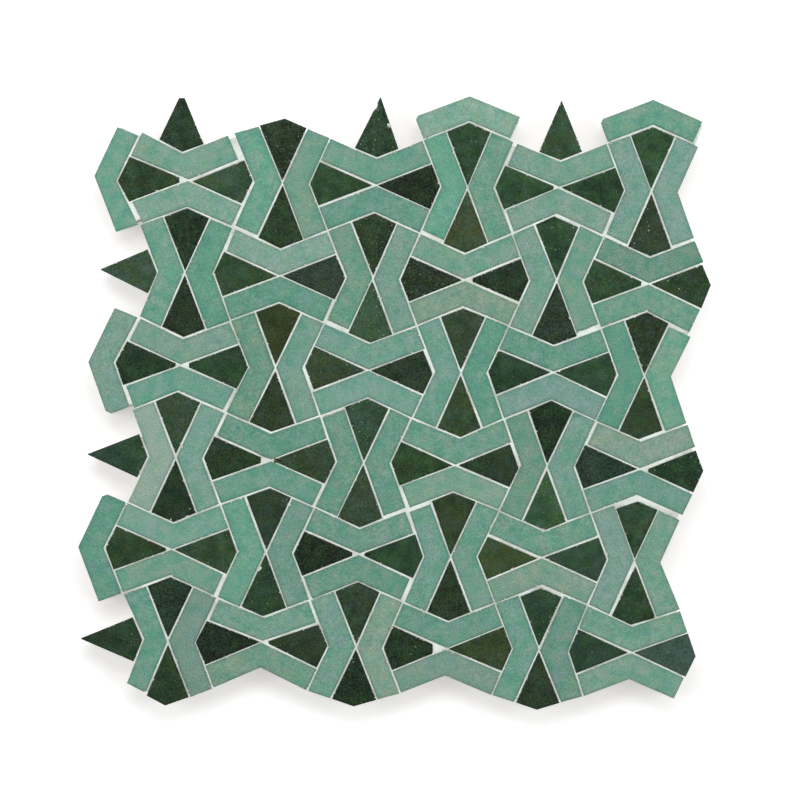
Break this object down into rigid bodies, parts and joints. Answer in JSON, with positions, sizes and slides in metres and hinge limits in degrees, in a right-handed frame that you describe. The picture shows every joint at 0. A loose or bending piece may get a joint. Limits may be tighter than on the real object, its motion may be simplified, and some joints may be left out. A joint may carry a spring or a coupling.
{
  "type": "mosaic tile sheet",
  "caption": "Hand-laid sheet of chiselled, glazed kite and chevron tiles in grout, with toothed edges that lock into the next sheet on a wall or floor.",
  "frame": {"origin": "centre of the sheet's box, on the flat back of the grout bed", "axes": "+X to the right and +Y to the top of the sheet as it is looked at, +Z out of the glazed faces"},
  "size_m": [0.342, 0.3414, 0.0154],
  "materials": {
    "dark_green_glaze": "gloss, hand-glazed, pitted",
    "sea_green_glaze": "gloss, hand-glazed, mottled",
    "grout": "matt cement grout"
  },
  "bodies": {
    "root": {"grout_bed": "grout", "left_edge_chevrons": "sea_green_glaze", "left_edge_kites": "dark_green_glaze", "row_1_lying_chevrons": "sea_green_glaze", "row_1_lying_kites": "dark_green_glaze", "row_1_upright_chevrons": "sea_green_glaze", "row_1_upright_kites": "dark_green_glaze", "row_2_lying_chevrons": "sea_green_glaze", "row_2_lying_kites": "dark_green_glaze", "row_2_upright_chevrons": "sea_green_glaze", "row_2_upright_kites": "dark_green_glaze", "row_3_lying_chevrons": "sea_green_glaze", "row_3_lying_kites": "dark_green_glaze", "row_3_upright_chevrons": "sea_green_glaze", "row_3_upright_kites": "dark_green_glaze", "row_4_lying_chevrons": "sea_green_glaze", "row_4_lying_kites": "dark_green_glaze", "row_4_upright_chevrons": "sea_green_glaze", "row_4_upright_kites": "dark_green_glaze", "row_5_lying_chevrons": "sea_green_glaze", "row_5_lying_kites": "dark_green_glaze", "row_5_upright_chevrons": "sea_green_glaze", "row_5_upright_kites": "dark_green_glaze", "row_6_lying_chevrons": "sea_green_glaze", "row_6_lying_kites": "dark_green_glaze", "row_6_upright_chevrons": "sea_green_glaze", "row_6_upright_kites": "dark_green_glaze", "top_edge_chevrons": "sea_green_glaze", "top_edge_kites": "dark_green_glaze"}
  },
  "joints": []
}
